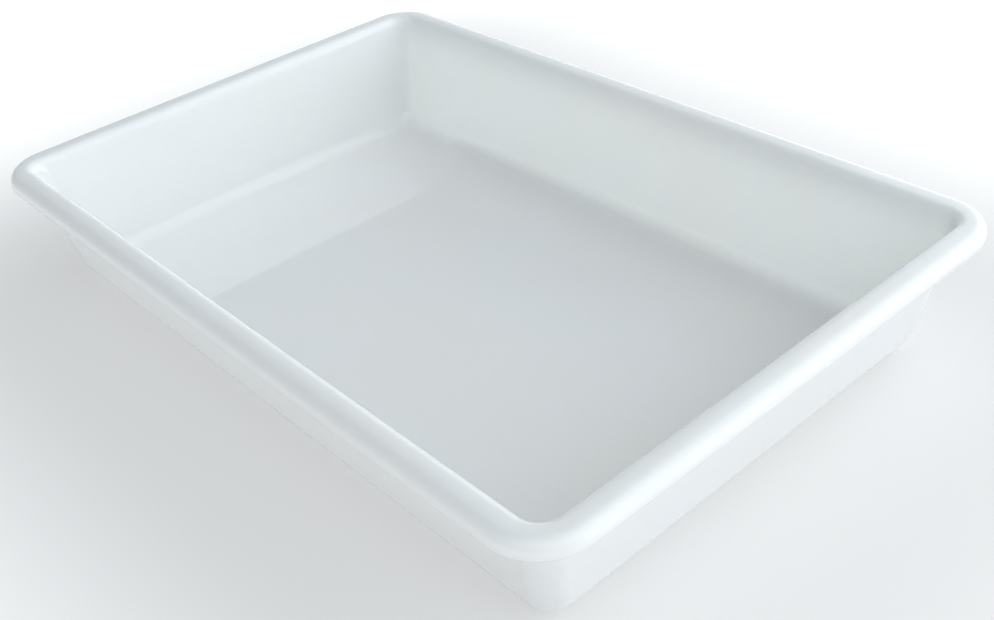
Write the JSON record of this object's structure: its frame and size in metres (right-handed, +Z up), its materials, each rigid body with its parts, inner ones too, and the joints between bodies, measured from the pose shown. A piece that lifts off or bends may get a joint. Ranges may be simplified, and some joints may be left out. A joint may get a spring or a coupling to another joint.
{
  "type": "developing tray",
  "caption": "Deep rectangular white plastic tray with leaning walls, rounded corners, a flat floor and a turned-down rim, for holding photographic processing baths.",
  "frame": {"origin": "centre of the tray's footprint, on the surface it stands on", "axes": "+X along the long side, +Y along the short side, +Z up out of the tray's mouth"},
  "size_m": [0.45, 0.3044, 0.0734],
  "materials": {
    "white_plastic": "glossy cool white, moulded in one colour"
  },
  "bodies": {
    "root": {"tray": "white_plastic"}
  },
  "joints": []
}
